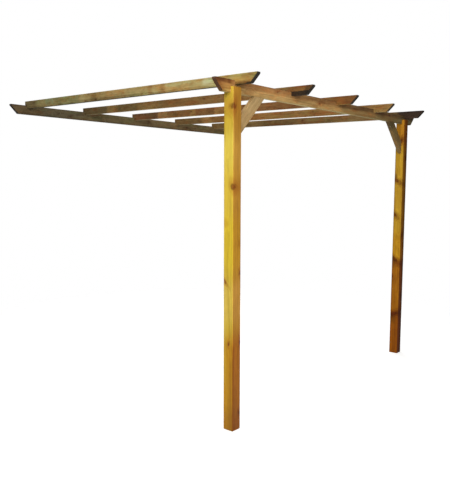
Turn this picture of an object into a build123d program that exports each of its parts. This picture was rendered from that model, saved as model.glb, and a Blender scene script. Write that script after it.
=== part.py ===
from build123d import *
import os

# Lean-to pergola: two slotted posts carry a front beam, a second beam lies
# against the wall, and five notched rafters span between the two beams.
# Frame: X along the beams, +Y into the wall, +Z up. The origin lies on the
# wall beam's back face at half its depth, behind the middle rafter. All
# dimensions are in millimetres.

os.makedirs("parts", exist_ok=True)

# ---- driving dimensions -------------------------------------------------
POST_W = 85.0            # side of the square posts
POST_H = 2400.0          # foot to the top of the slot's cheeks
POST_ARRIS = 2.0         # eased long edges of the posts
POST_LEFT_X = -1352.5    # post centres along X
POST_RIGHT_X = 1307.5
SLOT_D = 40.0            # depth of the slot in a post's top

BOARD_T = 35.0           # thickness of beams, rafters and braces
BEAM_D = 85.0            # depth of both beams
BEAM_L = 3090.0          # length of the front beam along the top edge
WALL_LEFT_X = -1515.0    # ends of the wall beam along the top edge
WALL_RIGHT_X = 1650.0
END_NOSE = 12.0          # plumb nose left above the 45 degree cut on a raked end
BEAM_RAKE = BEAM_D - END_NOSE   # how far a beam's end runs back from nose to bottom

RAFTER_D = 70.0          # depth of a rafter
RAFTER_PITCH = 667.0     # spacing of the rafters, centre to centre
RAFTER_RAKE = RAFTER_D - END_NOSE   # how far a rafter's tip runs back from nose to bottom
NOTCH_D = 30.0           # depth of a rafter's notch over a beam
RISE = 50.0              # height of the wall beam above the front beam

DEPTH = 2650.0           # wall to the front face of the posts
TIP_OUT = 165.0          # rafter tip in front of the posts' front face

BRACE_W = 85.0           # width of a knee brace
BRACE_LEG = 295.0        # long leg of a brace on the post and on the beam

# ---- derived levels and planes -------------------------------------------
WALL_TOP = BEAM_D / 2
WALL_BOT = -BEAM_D / 2
FRONT_TOP = WALL_TOP - RISE
FRONT_BOT = FRONT_TOP - BEAM_D
GROUND = FRONT_BOT + SLOT_D - POST_H          # level of the posts' feet
POST_TOP = GROUND + POST_H

POST_Y = -DEPTH + POST_W / 2                  # post centres along Y
BEAM_Y0 = POST_Y - BOARD_T / 2                # front face of the front beam
BEAM_Y1 = POST_Y + BOARD_T / 2                # back face of the front beam
WALL_Y0 = -BOARD_T                            # front face of the wall beam

SLOPE = RISE / (WALL_Y0 - BEAM_Y0)


def rafter_bottom(y):
    """Underside of a rafter at a distance y from the wall plane."""
    return FRONT_TOP - NOTCH_D + SLOPE * (y - BEAM_Y0)


def rafter_top(y):
    return rafter_bottom(y) + RAFTER_D


# ---- posts ---------------------------------------------------------------
with BuildPart() as post_left:
    with BuildSketch(Plane.XY.offset(GROUND)):
        with Locations((POST_LEFT_X, POST_Y)):
            Rectangle(POST_W, POST_W)
    extrude(amount=POST_H)
    chamfer(post_left.edges().filter_by(Axis.Z), length=POST_ARRIS)
    with BuildSketch(Plane.YZ.offset(POST_LEFT_X - POST_W)):
        with Locations((POST_Y, POST_TOP - SLOT_D / 2)):
            Rectangle(BOARD_T, SLOT_D)
    extrude(amount=2 * POST_W, mode=Mode.SUBTRACT)
post_left.part.label = "post_left"

with BuildPart() as post_right:
    with BuildSketch(Plane.XY.offset(GROUND)):
        with Locations((POST_RIGHT_X, POST_Y)):
            Rectangle(POST_W, POST_W)
    extrude(amount=POST_H)
    chamfer(post_right.edges().filter_by(Axis.Z), length=POST_ARRIS)
    with BuildSketch(Plane.YZ.offset(POST_RIGHT_X - POST_W)):
        with Locations((POST_Y, POST_TOP - SLOT_D / 2)):
            Rectangle(BOARD_T, SLOT_D)
    extrude(amount=2 * POST_W, mode=Mode.SUBTRACT)
post_right.part.label = "post_right"

# ---- beams ---------------------------------------------------------------
# Side view of a beam: a short plumb nose at each end, raked back below it.
with BuildPart() as front_beam:
    with BuildSketch(Plane.XZ.offset(-BEAM_Y1)):
        with BuildLine():
            Polyline(
                (-BEAM_L / 2, FRONT_TOP),
                (BEAM_L / 2, FRONT_TOP),
                (BEAM_L / 2, FRONT_TOP - END_NOSE),
                (BEAM_L / 2 - BEAM_RAKE, FRONT_BOT),
                (-BEAM_L / 2 + BEAM_RAKE, FRONT_BOT),
                (-BEAM_L / 2, FRONT_TOP - END_NOSE),
                close=True,
            )
        make_face()
    extrude(amount=BOARD_T)
front_beam.part.label = "front_beam"

with BuildPart() as wall_beam:
    with BuildSketch(Plane.XZ):
        with BuildLine():
            Polyline(
                (WALL_LEFT_X, WALL_TOP),
                (WALL_RIGHT_X, WALL_TOP),
                (WALL_RIGHT_X, WALL_TOP - END_NOSE),
                (WALL_RIGHT_X - BEAM_RAKE, WALL_BOT),
                (WALL_LEFT_X + BEAM_RAKE, WALL_BOT),
                (WALL_LEFT_X, WALL_TOP - END_NOSE),
                close=True,
            )
        make_face()
    extrude(amount=BOARD_T)
wall_beam.part.label = "wall_beam"

# ---- rafters -------------------------------------------------------------
# Side view of a rafter: square end at the wall with a rebate over the wall
# beam, a notch over the front beam, and a tip in front of it with a short
# plumb nose, raked back below it.
TIP_Y = -DEPTH - TIP_OUT
HEEL_Y = TIP_Y + RAFTER_RAKE
RAFTER_OUTLINE = [
    (TIP_Y, rafter_top(TIP_Y) - END_NOSE),
    (TIP_Y, rafter_top(TIP_Y)),
    (0.0, rafter_top(0.0)),
    (0.0, WALL_TOP),
    (WALL_Y0, WALL_TOP),
    (WALL_Y0, rafter_bottom(WALL_Y0)),
    (BEAM_Y1, rafter_bottom(BEAM_Y1)),
    (BEAM_Y1, FRONT_TOP),
    (BEAM_Y0, FRONT_TOP),
    (BEAM_Y0, rafter_bottom(BEAM_Y0)),
    (HEEL_Y, rafter_bottom(HEEL_Y)),
]

rafters = []
for number in range(1, 6):
    centre = (number - 3) * RAFTER_PITCH
    with BuildPart() as rafter:
        with BuildSketch(Plane.YZ.offset(centre - BOARD_T / 2)):
            with BuildLine():
                Polyline(*RAFTER_OUTLINE, close=True)
            make_face()
        extrude(amount=BOARD_T)
    rafter.part.label = f"rafter_{number}"
    rafters.append(rafter)

# ---- knee braces ---------------------------------------------------------
# Plumb cut on the post's inner face, level cut under the front beam.
BRACE_CUT = BRACE_W * 2 ** 0.5                # length of each end cut at 45 degrees
IN_LEFT = POST_LEFT_X + POST_W / 2
IN_RIGHT = POST_RIGHT_X - POST_W / 2

with BuildPart() as brace_left:
    with BuildSketch(Plane.XZ.offset(-BEAM_Y1)):
        with BuildLine():
            Polyline(
                (IN_LEFT, FRONT_BOT - BRACE_LEG),
                (IN_LEFT + BRACE_LEG, FRONT_BOT),
                (IN_LEFT + BRACE_LEG - BRACE_CUT, FRONT_BOT),
                (IN_LEFT, FRONT_BOT - BRACE_LEG + BRACE_CUT),
                close=True,
            )
        make_face()
    extrude(amount=BOARD_T)
brace_left.part.label = "brace_left"

with BuildPart() as brace_right:
    with BuildSketch(Plane.XZ.offset(-BEAM_Y1)):
        with BuildLine():
            Polyline(
                (IN_RIGHT, FRONT_BOT - BRACE_LEG),
                (IN_RIGHT - BRACE_LEG, FRONT_BOT),
                (IN_RIGHT - BRACE_LEG + BRACE_CUT, FRONT_BOT),
                (IN_RIGHT, FRONT_BOT - BRACE_LEG + BRACE_CUT),
                close=True,
            )
        make_face()
    extrude(amount=BOARD_T)
brace_right.part.label = "brace_right"

# ---- one STEP file per timber --------------------------------------------
export_step(post_left.part, "parts/post_left.step")
export_step(post_right.part, "parts/post_right.step")
export_step(front_beam.part, "parts/front_beam.step")
export_step(wall_beam.part, "parts/wall_beam.step")
for number, rafter in enumerate(rafters, start=1):
    export_step(rafter.part, f"parts/rafter_{number}.step")
export_step(brace_left.part, "parts/brace_left.step")
export_step(brace_right.part, "parts/brace_right.step")
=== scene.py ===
import math

import bmesh
import bpy
import numpy as np
from mathutils import Matrix, Vector


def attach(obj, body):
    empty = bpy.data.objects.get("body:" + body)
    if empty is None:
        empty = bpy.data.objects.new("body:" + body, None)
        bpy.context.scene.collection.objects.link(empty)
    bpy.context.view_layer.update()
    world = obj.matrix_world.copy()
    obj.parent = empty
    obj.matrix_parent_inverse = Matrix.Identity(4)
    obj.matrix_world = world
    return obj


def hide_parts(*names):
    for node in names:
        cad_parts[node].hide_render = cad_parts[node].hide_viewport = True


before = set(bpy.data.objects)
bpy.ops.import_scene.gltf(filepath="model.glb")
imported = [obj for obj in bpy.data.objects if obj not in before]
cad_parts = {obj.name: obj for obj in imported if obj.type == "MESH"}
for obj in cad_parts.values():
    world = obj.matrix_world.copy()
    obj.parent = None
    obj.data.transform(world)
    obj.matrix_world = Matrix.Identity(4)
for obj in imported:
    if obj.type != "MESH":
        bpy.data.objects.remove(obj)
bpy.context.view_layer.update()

scene = bpy.context.scene
scene.view_settings.view_transform = "Standard"


# ---------------------------------------------------------------- small helpers
def lin(c):
    """A display colour, 0 to 255, as scene-linear."""
    out = []
    for x in c:
        x = x / 255.0
        out.append(x / 12.92 if x <= 0.04045 else ((x + 0.055) / 1.055) ** 2.4)
    return tuple(out)


def smooth01(x, lo, hi):
    t = np.clip((x - lo) / (hi - lo), 0, 1)
    return t * t * (3 - 2 * t)


class Soft2D:
    """Smooth repeatable noise over two coordinates, from -1 to 1."""

    def __init__(self, seed, n=64):
        self.g = np.random.default_rng(seed).uniform(-1, 1, (n, n))
        self.n = n

    def __call__(self, x, y):
        x0, y0 = np.floor(x).astype(int), np.floor(y).astype(int)
        fx, fy = x - x0, y - y0
        fx, fy = fx * fx * (3 - 2 * fx), fy * fy * (3 - 2 * fy)
        n, g = self.n, self.g
        a, b = g[x0 % n, y0 % n], g[(x0 + 1) % n, y0 % n]
        c, d = g[x0 % n, (y0 + 1) % n], g[(x0 + 1) % n, (y0 + 1) % n]
        return (a * (1 - fx) + b * fx) * (1 - fy) + (c * (1 - fx) + d * fx) * fy


# ---------------------------------------------------------------- timber meshes
def section(hv, hw, r, step, arc=4):
    """Points round a rectangle with eased corners, as (v, w)."""
    corners = [(hv - r, hw - r, 0), (r - hv, hw - r, 90), (r - hv, r - hw, 180), (hv - r, r - hw, 270)]
    pts = []
    for i, (cv, cw, a) in enumerate(corners):
        for k in range(arc + 1):
            t = math.radians(a + 90 * k / arc)
            pts.append((cv + r * math.cos(t), cw + r * math.sin(t)))
        nv, nw, _ = corners[(i + 1) % 4]
        t = math.radians(a + 90)
        end = (nv + r * math.cos(t), nw + r * math.sin(t))
        run = math.dist(pts[-1], end)
        n = max(1, round(run / step))
        here = pts[-1]
        for k in range(1, n):
            pts.append((here[0] + (end[0] - here[0]) * k / n, here[1] + (end[1] - here[1]) * k / n))
    return np.array(pts)


def bar(ends, hv, hw, r, du, step, ease, rng):
    """A straight timber in its own (u, v, w): eased arrises, raked ends, fine faces."""
    sec = section(hv, hw, r, step)
    (e0, s0), (e1, s1) = ends
    n = max(2, round((e1 - e0) / du))
    t = np.linspace(0, 1, n + 1)
    t[1:-1] += rng.uniform(-0.2, 0.2, n - 1) / n
    small = sec * np.array([(hv - ease) / hv, (hw - ease) / hw])
    loops = []
    for i, k in enumerate(t):
        s = small if i in (0, n) else sec
        lo, hi = e0 + s0 * s[:, 0], e1 + s1 * s[:, 0]
        loops.append(np.column_stack([lo + (hi - lo) * k, s]))
        if i in (0, n):
            lo, hi = e0 + s0 * sec[:, 0], e1 + s1 * sec[:, 0]
            full = np.column_stack([lo + ease if i == 0 else hi - ease, sec])
            loops.insert(len(loops) if i == 0 else len(loops) - 1, full)
    m = len(sec)
    verts = np.concatenate(loops)
    faces = []
    for i in range(len(loops) - 1):
        a, b = i * m, (i + 1) * m
        for j in range(m):
            k = (j + 1) % m
            faces.append((a + j, b + j, b + k, a + k))
    faces.append(tuple(range(m)))
    faces.append(tuple(reversed(range((len(loops) - 1) * m, len(loops) * m))))
    return verts, faces


def box_cut(lo, hi):
    x0, y0, z0 = lo
    x1, y1, z1 = hi
    v = np.array([(x, y, z) for x in (x0, x1) for y in (y0, y1) for z in (z0, z1)])
    f = [(0, 1, 3, 2), (4, 6, 7, 5), (0, 4, 5, 1), (2, 3, 7, 6), (0, 2, 6, 4), (1, 5, 7, 3)]
    return v, f


def wedge(rows):
    """A closed sliver from rows of three points: two outside the surface and one at the bottom."""
    rows = np.array(rows)
    n = len(rows)
    f = []
    for i in range(n - 1):
        a, b = 3 * i, 3 * i + 3
        for j in range(3):
            k = (j + 1) % 3
            f.append((a + j, b + j, b + k, a + k))
    f.append((0, 1, 2))
    f.append((3 * n - 3, 3 * n - 1, 3 * n - 2))
    return rows.reshape(-1, 3), f


def drying_check(hv, hw, face, c, u0, u1, width, depth, rng):
    """A long narrow drying crack in a face, tapered at both ends, as a cutter in (u, v, w)."""
    n = 16
    bend = rng.uniform(-1, 1, 4)
    lean = rng.uniform(-0.25, 0.25)
    rows = []
    for i in range(n):
        t = i / (n - 1)
        taper = max(0.06, math.sin(math.pi * t) ** 0.7) * (0.85 + 0.15 * math.sin(9 * t + bend[3] * 3))
        wander = 0.0016 * (bend[0] * math.sin(3.1 * t) + bend[1] * math.sin(7.3 * t) + 0.5 * bend[2] * math.sin(15 * t))
        u = u0 + (u1 - u0) * t
        a, d = 0.5 * width * taper, depth * taper
        h = hv if face[1] == "v" else hw
        sgn = 1 if face[0] == "+" else -1
        pts = [(c + wander - a * 1.12, sgn * (h + 0.0008)), (c + wander + a * 1.12, sgn * (h + 0.0008)), (c + wander + lean * d, sgn * (h - d))]
        rows.append([(u, o, x) if face[1] == "v" else (u, x, o) for x, o in pts])
    return wedge(rows)


def end_split(end, sign, centre, angle, length, width, depth):
    """A radial split in the end grain, as a cutter in (u, v, w). sign is +1 at the low end."""
    e, s = end
    d = np.array([math.cos(angle), math.sin(angle)])
    p = np.array([-d[1], d[0]])
    rows = []
    n = 9
    for i in range(n):
        t = i / (n - 1)
        taper = max(0.08, math.sin(math.pi * min(1, 0.12 + 0.88 * t)) ** 0.8)
        at = np.array(centre) + d * length * t + p * 0.0007 * math.sin(8 * t)
        a = 0.5 * width * taper
        for_out = []
        for q in (at - p * a, at + p * a):
            for_out.append((e + s * q[0] - sign * 0.0008, q[0], q[1]))
        for_out.append((e + s * at[0] + sign * depth * taper, at[0], at[1]))
        rows.append(for_out)
    return wedge(rows)


def turned(profile, seg=24):
    """A closed turned form from (radius, height) points, first and last on the axis, as x, y, z with z up."""
    v, f = [(0, 0, profile[0][1])], []
    for rad, z in profile[1:-1]:
        for k in range(seg):
            a = 2 * math.pi * k / seg
            v.append((rad * math.cos(a), rad * math.sin(a), z))
    v.append((0, 0, profile[-1][1]))
    rings = len(profile) - 2
    for k in range(seg):
        f.append((0, 1 + k, 1 + (k + 1) % seg))
    for i in range(rings - 1):
        a, b = 1 + i * seg, 1 + (i + 1) * seg
        for k in range(seg):
            j = (k + 1) % seg
            f.append((a + k, b + k, b + j, a + j))
    last = len(v) - 1
    a = 1 + (rings - 1) * seg
    for k in range(seg):
        f.append((last, a + (k + 1) % seg, a + k))
    return np.array(v), f


def joined(parts):
    verts, faces, n = [], [], 0
    for v, f in parts:
        verts.append(np.asarray(v, float))
        faces += [tuple(i + n for i in face) for face in f]
        n += len(v)
    return np.concatenate(verts), faces


def outward(verts, faces):
    """A closed form with all its faces turned outward."""
    v = np.asarray(verts, float)
    v = v - v.mean(0)
    volume = 0.0
    for n in {len(f) for f in faces}:
        q = v[np.array([f for f in faces if len(f) == n])]
        for i in range(1, n - 1):
            volume += np.einsum("ij,ij->", q[:, 0], np.cross(q[:, i], q[:, i + 1]))
    return verts, (faces if volume > 0 else [tuple(reversed(f)) for f in faces])


def to_mesh(name, verts, faces):
    me = bpy.data.meshes.new(name)
    me.from_pydata(np.asarray(verts).tolist(), [], faces)
    me.update()
    return me


def cut_away(mesh, cutters):
    """The mesh less all cutters, which do not overlap each other."""
    a = bpy.data.objects.new("tmp_a", mesh)
    b = bpy.data.objects.new("tmp_b", to_mesh("tmp_b", *joined([outward(*c) for c in cutters])))
    for o in (a, b):
        scene.collection.objects.link(o)
    mod = a.modifiers.new("cut", "BOOLEAN")
    mod.operation = "DIFFERENCE"
    mod.solver = "MANIFOLD"
    mod.object = b
    dg = bpy.context.evaluated_depsgraph_get()
    made = bpy.data.meshes.new_from_object(a.evaluated_get(dg))
    for o in (a, b):
        old = o.data
        bpy.data.objects.remove(o)
        bpy.data.meshes.remove(old)
    return made


# A screw seat: the tapered recess that a countersunk head lies in, and the head itself, both with the face at z = 0.
SEAT = [(0, 0.0012), (5.2e-3, 0.0012), (4.95e-3, -0.0006), (2.4e-3, -0.0036), (0, -0.0036)]
HEAD = [(0, -0.00055), (2.6e-3, -0.00056), (4.2e-3, -0.00066), (4.62e-3, -0.00095), (4.55e-3, -0.0013), (2.2e-3, -0.0034), (0, -0.0034)]


def screw_head():
    """One head with its cross recess, made once."""
    v, f = turned(HEAD, 28)
    arms = []
    for turn in (0, 1):
        rows = []
        for z, long, wide in ((0.0004, 2.5e-3, 0.72e-3), (-0.0026, 1.5e-3, 0.42e-3)):
            q = [(-long, -wide), (long, -wide), (long, wide), (-long, wide)]
            rows += [((y, x, z) if turn else (x, y, z)) for x, y in q]
        arms.append((np.array(rows), [(0, 1, 2, 3), (7, 6, 5, 4), (0, 4, 5, 1), (1, 5, 6, 2), (2, 6, 7, 3), (3, 7, 4, 0)]))
    me = to_mesh("screw", *outward(v, f))
    for arm in arms:
        me = cut_away(me, [arm])
    verts = np.array([p.co for p in me.vertices])
    faces = [tuple(p.vertices) for p in me.polygons]
    bpy.data.meshes.remove(me)
    return verts, faces


def set_on(verts, at, normal, spin):
    """Turned forms stood on a face at a point, with the face's outward normal."""
    q = Vector((0, 0, 1)).rotation_difference(Vector(normal)).to_matrix() @ Matrix.Rotation(spin, 3, "Z")
    return np.asarray(verts) @ np.array(q).T + np.array(at)


class Knot:
    """A branch stub cut through by a face: an oval that leans on the face and runs on into the timber."""

    def __init__(self, hv, hw, face, u, c, r, long=1.35, lean=0.0):
        sgn = 1 if face[0] == "+" else -1
        a = math.radians(lean)
        if face[1] == "v":
            self.at, self.size, self.turn = (u, sgn * hv, c), (r * long, r * 2.4, r), (0.0, a, 0.0)
            self.rot = np.array([[math.cos(a), 0, math.sin(a)], [0, 1, 0], [-math.sin(a), 0, math.cos(a)]])
        else:
            self.at, self.size, self.turn = (u, c, sgn * hw), (r * long, r, r * 2.4), (0.0, 0.0, a)
            self.rot = np.array([[math.cos(a), -math.sin(a), 0], [math.sin(a), math.cos(a), 0], [0, 0, 1]])

    def reach(self, p):
        """Distance from the heart of the knot, in its own radii."""
        return np.linalg.norm((p - np.array(self.at)) @ self.rot / np.array(self.size), axis=1)


class Timber:
    """One timber: its own axes, its mesh and its screws. A point is origin + u*U + v*V + w*W."""

    def __init__(self, name, origin, U, V, W, ends, hv, hw, r, seed, cuts=(), checks=(), splits=(), screws=(), knots=(), du=0.014, step=0.0055, ease=0.0009):
        self.name, self.hv, self.hw = name, hv, hw
        self.o = np.array(origin, float)
        self.m = np.array([U, V, W], float)
        self.inv = np.linalg.inv(self.m)
        self.ends = ends
        rng = np.random.default_rng(seed)
        v, f = bar(ends, hv, hw, r, du, step, ease, rng)
        me = to_mesh(name, *outward(self.world(v), f))
        cutters = [box_cut(*c) for c in cuts]
        for face, c, u0, u1, width, depth in checks:
            p, q = drying_check(hv, hw, face, c, u0, u1, width, depth, rng)
            cutters.append((self.world(p), q))
        for which, centre, angle, length, width, depth in splits:
            p, q = end_split(ends[which], 1 if which == 0 else -1, centre, math.radians(angle), length, width, depth)
            cutters.append((self.world(p), q))
        self.screws = []
        seat_v, seat_f = turned(SEAT, 24)
        for face, u, c in screws:
            sgn = 1 if face[0] == "+" else -1
            local = (u, sgn * hv, c) if face[1] == "v" else (u, c, sgn * hw)
            n = sgn * (self.m[1] if face[1] == "v" else self.m[2])
            n = n / np.linalg.norm(n)
            at = self.world(np.array([local]))[0]
            spin = rng.uniform(0, 3.14)
            cutters.append((set_on(seat_v, at, n, spin), seat_f))
            self.screws.append((at, n, spin))
        if cutters:
            me = cut_away(me, cutters)
        self.mesh = me
        self.knots = [Knot(hv, hw, *k) for k in knots]
        self.shape(seed)

    def world(self, p):
        return self.o + np.asarray(p) @ self.m

    def local(self, p):
        return (np.asarray(p) - self.o) @ self.inv

    def shape(self, seed):
        """Slight hollows, proud knots and worn arrises, all inward of the sawn size, and the grain coordinates."""
        me = self.mesh
        n = len(me.vertices)
        co = np.empty(n * 3, np.float32)
        me.vertices.foreach_get("co", co)
        p = self.local(co.reshape(-1, 3).astype(float))
        u, v, w = p.T
        hv, hw = self.hv, self.hw
        inv, inw = hv - np.abs(v), hw - np.abs(w)
        on_v, on_w = 1 - smooth01(inv, 0.0001, 0.0022), 1 - smooth01(inw, 0.0001, 0.0022)
        knot = np.zeros(n)
        ring = np.zeros(n)
        for k in self.knots:
            d = k.reach(p)
            knot = np.maximum(knot, 1 - smooth01(d, 0.7, 1.1))
            ring = np.maximum(ring, smooth01(d, 0.8, 1.1) * (1 - smooth01(d, 1.2, 1.7)))
        a, b = Soft2D(seed * 5 + 1), Soft2D(seed * 5 + 2)
        fv = 0.5 + 0.3 * a(u * 3.3 + 7 * np.sign(v), w * 40) + 0.2 * b(u * 17, w * 120 + 9 * np.sign(v))
        fw = 0.5 + 0.3 * b(u * 3.1 + 7 * np.sign(w), v * 40) + 0.2 * a(u * 16, v * 120 + 9 * np.sign(w))
        amp = 0.00042
        sink_v = on_v * amp * np.clip(fv * (1 - knot) + 0.6 * ring, 0, 1.6)
        sink_w = on_w * amp * np.clip(fw * (1 - knot) + 0.6 * ring, 0, 1.6)
        arris = (1 - smooth01(np.maximum(inv, inw), 0.0, 0.0052))
        q = np.sign(v) * 2 + np.sign(w)
        nick = smooth01(a(u * 7.7 + q * 13.1, q * 3.7 + 0 * u), 0.55, 1.0) + 0.8 * smooth01(b(u * 31 + q * 5.3, q * 2.1 + 0 * u), 0.72, 1.0)
        worn = arris * (0.0002 + 0.0011 * np.clip(nick, 0, 1))
        p[:, 1] -= np.sign(v) * (sink_v + worn * on_v)
        p[:, 2] -= np.sign(w) * (sink_w + worn * on_w)
        me.vertices.foreach_set("co", self.world(p).astype(np.float32).ravel())
        at = me.attributes.new("wood", "FLOAT_VECTOR", "POINT")
        at.data.foreach_set("vector", np.column_stack([u, v, w]).astype(np.float32).ravel())
        at = me.attributes.new("arris", "FLOAT", "POINT")
        at.data.foreach_set("value", arris.astype(np.float32))
        me.polygons.foreach_set("use_smooth", np.ones(len(me.polygons), bool))
        me.set_sharp_from_angle(angle=math.radians(33))
        me.update()


# ---------------------------------------------------------------- materials
class Nodes:
    def __init__(self, name):
        self.mat = bpy.data.materials.new(name)
        self.mat.use_nodes = True
        self.t = self.mat.node_tree
        self.t.nodes.clear()

    def new(self, kind, **props):
        n = self.t.nodes.new(kind)
        for k, x in props.items():
            setattr(n, k, x)
        return n

    def put(self, socket, x):
        if isinstance(x, bpy.types.NodeSocket):
            self.t.links.new(x, socket)
        elif hasattr(x, "__len__"):
            socket.default_value = (*x, 1.0) if len(socket.default_value) == 4 and len(x) == 3 else x
        else:
            socket.default_value = x

    def math(self, op, a, b=None, c=None, clamp=False):
        n = self.new("ShaderNodeMath", operation=op, use_clamp=clamp)
        for s, x in zip(n.inputs, (a, b, c)):
            if x is not None:
                self.put(s, x)
        return n.outputs[0]

    def add(self, a, b):
        return self.math("ADD", a, b)

    def mul(self, a, b):
        return self.math("MULTIPLY", a, b)

    def madd(self, a, b, c):
        return self.math("MULTIPLY_ADD", a, b, c)

    def vec(self, op, a, b=None, out=0):
        n = self.new("ShaderNodeVectorMath", operation=op)
        self.put(n.inputs[0], a)
        if b is not None:
            self.put(n.inputs[1], b)
        return n.outputs["Value" if op in ("LENGTH", "DOT_PRODUCT", "DISTANCE") else "Vector"]

    def comb(self, x, y, z):
        n = self.new("ShaderNodeCombineXYZ")
        for s, k in zip(n.inputs, (x, y, z)):
            self.put(s, k)
        return n.outputs[0]

    def sep(self, v):
        n = self.new("ShaderNodeSeparateXYZ")
        self.put(n.inputs[0], v)
        return n.outputs

    def noise(self, v, detail=2.0, rough=0.5, warp=0.0, colour=False):
        n = self.new("ShaderNodeTexNoise", noise_dimensions="3D")
        self.put(n.inputs["Vector"], v)
        n.inputs["Scale"].default_value = 1.0
        n.inputs["Detail"].default_value = detail
        n.inputs["Roughness"].default_value = rough
        n.inputs["Distortion"].default_value = warp
        return n.outputs["Color" if colour else "Fac"]

    def white(self, x):
        n = self.new("ShaderNodeTexWhiteNoise", noise_dimensions="1D")
        self.put(n.inputs["W"], x)
        return n.outputs["Value"]

    def step(self, x, lo, hi, a=0.0, b=1.0):
        n = self.new("ShaderNodeMapRange", interpolation_type="SMOOTHSTEP")
        self.put(n.inputs[0], x)
        for i, k in enumerate((lo, hi, a, b)):
            n.inputs[i + 1].default_value = k
        return n.outputs[0]

    def mix(self, fac, a, b, blend="MIX"):
        n = self.new("ShaderNodeMix", data_type="RGBA", blend_type=blend, clamp_factor=True)
        self.put(n.inputs[0], fac)
        self.put(n.inputs[6], a)
        self.put(n.inputs[7], b)
        return n.outputs[2]

    def ramp(self, x, stops):
        n = self.new("ShaderNodeValToRGB")
        self.put(n.inputs[0], x)
        e = n.color_ramp.elements
        while len(e) < len(stops):
            e.new(0.5)
        for k, (at, c) in enumerate(stops):
            e[k].position = at
            e[k].color = (*c, 1.0)
        return n.outputs[0]

    def finish(self, shader):
        out = self.new("ShaderNodeOutputMaterial")
        self.t.links.new(shader, out.inputs[0])
        return self.mat


def tone_stops(tones):
    at = (0.08, 0.36, 0.62, 0.95)
    return [(a, c) for a, c in zip(at, tones)]


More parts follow.
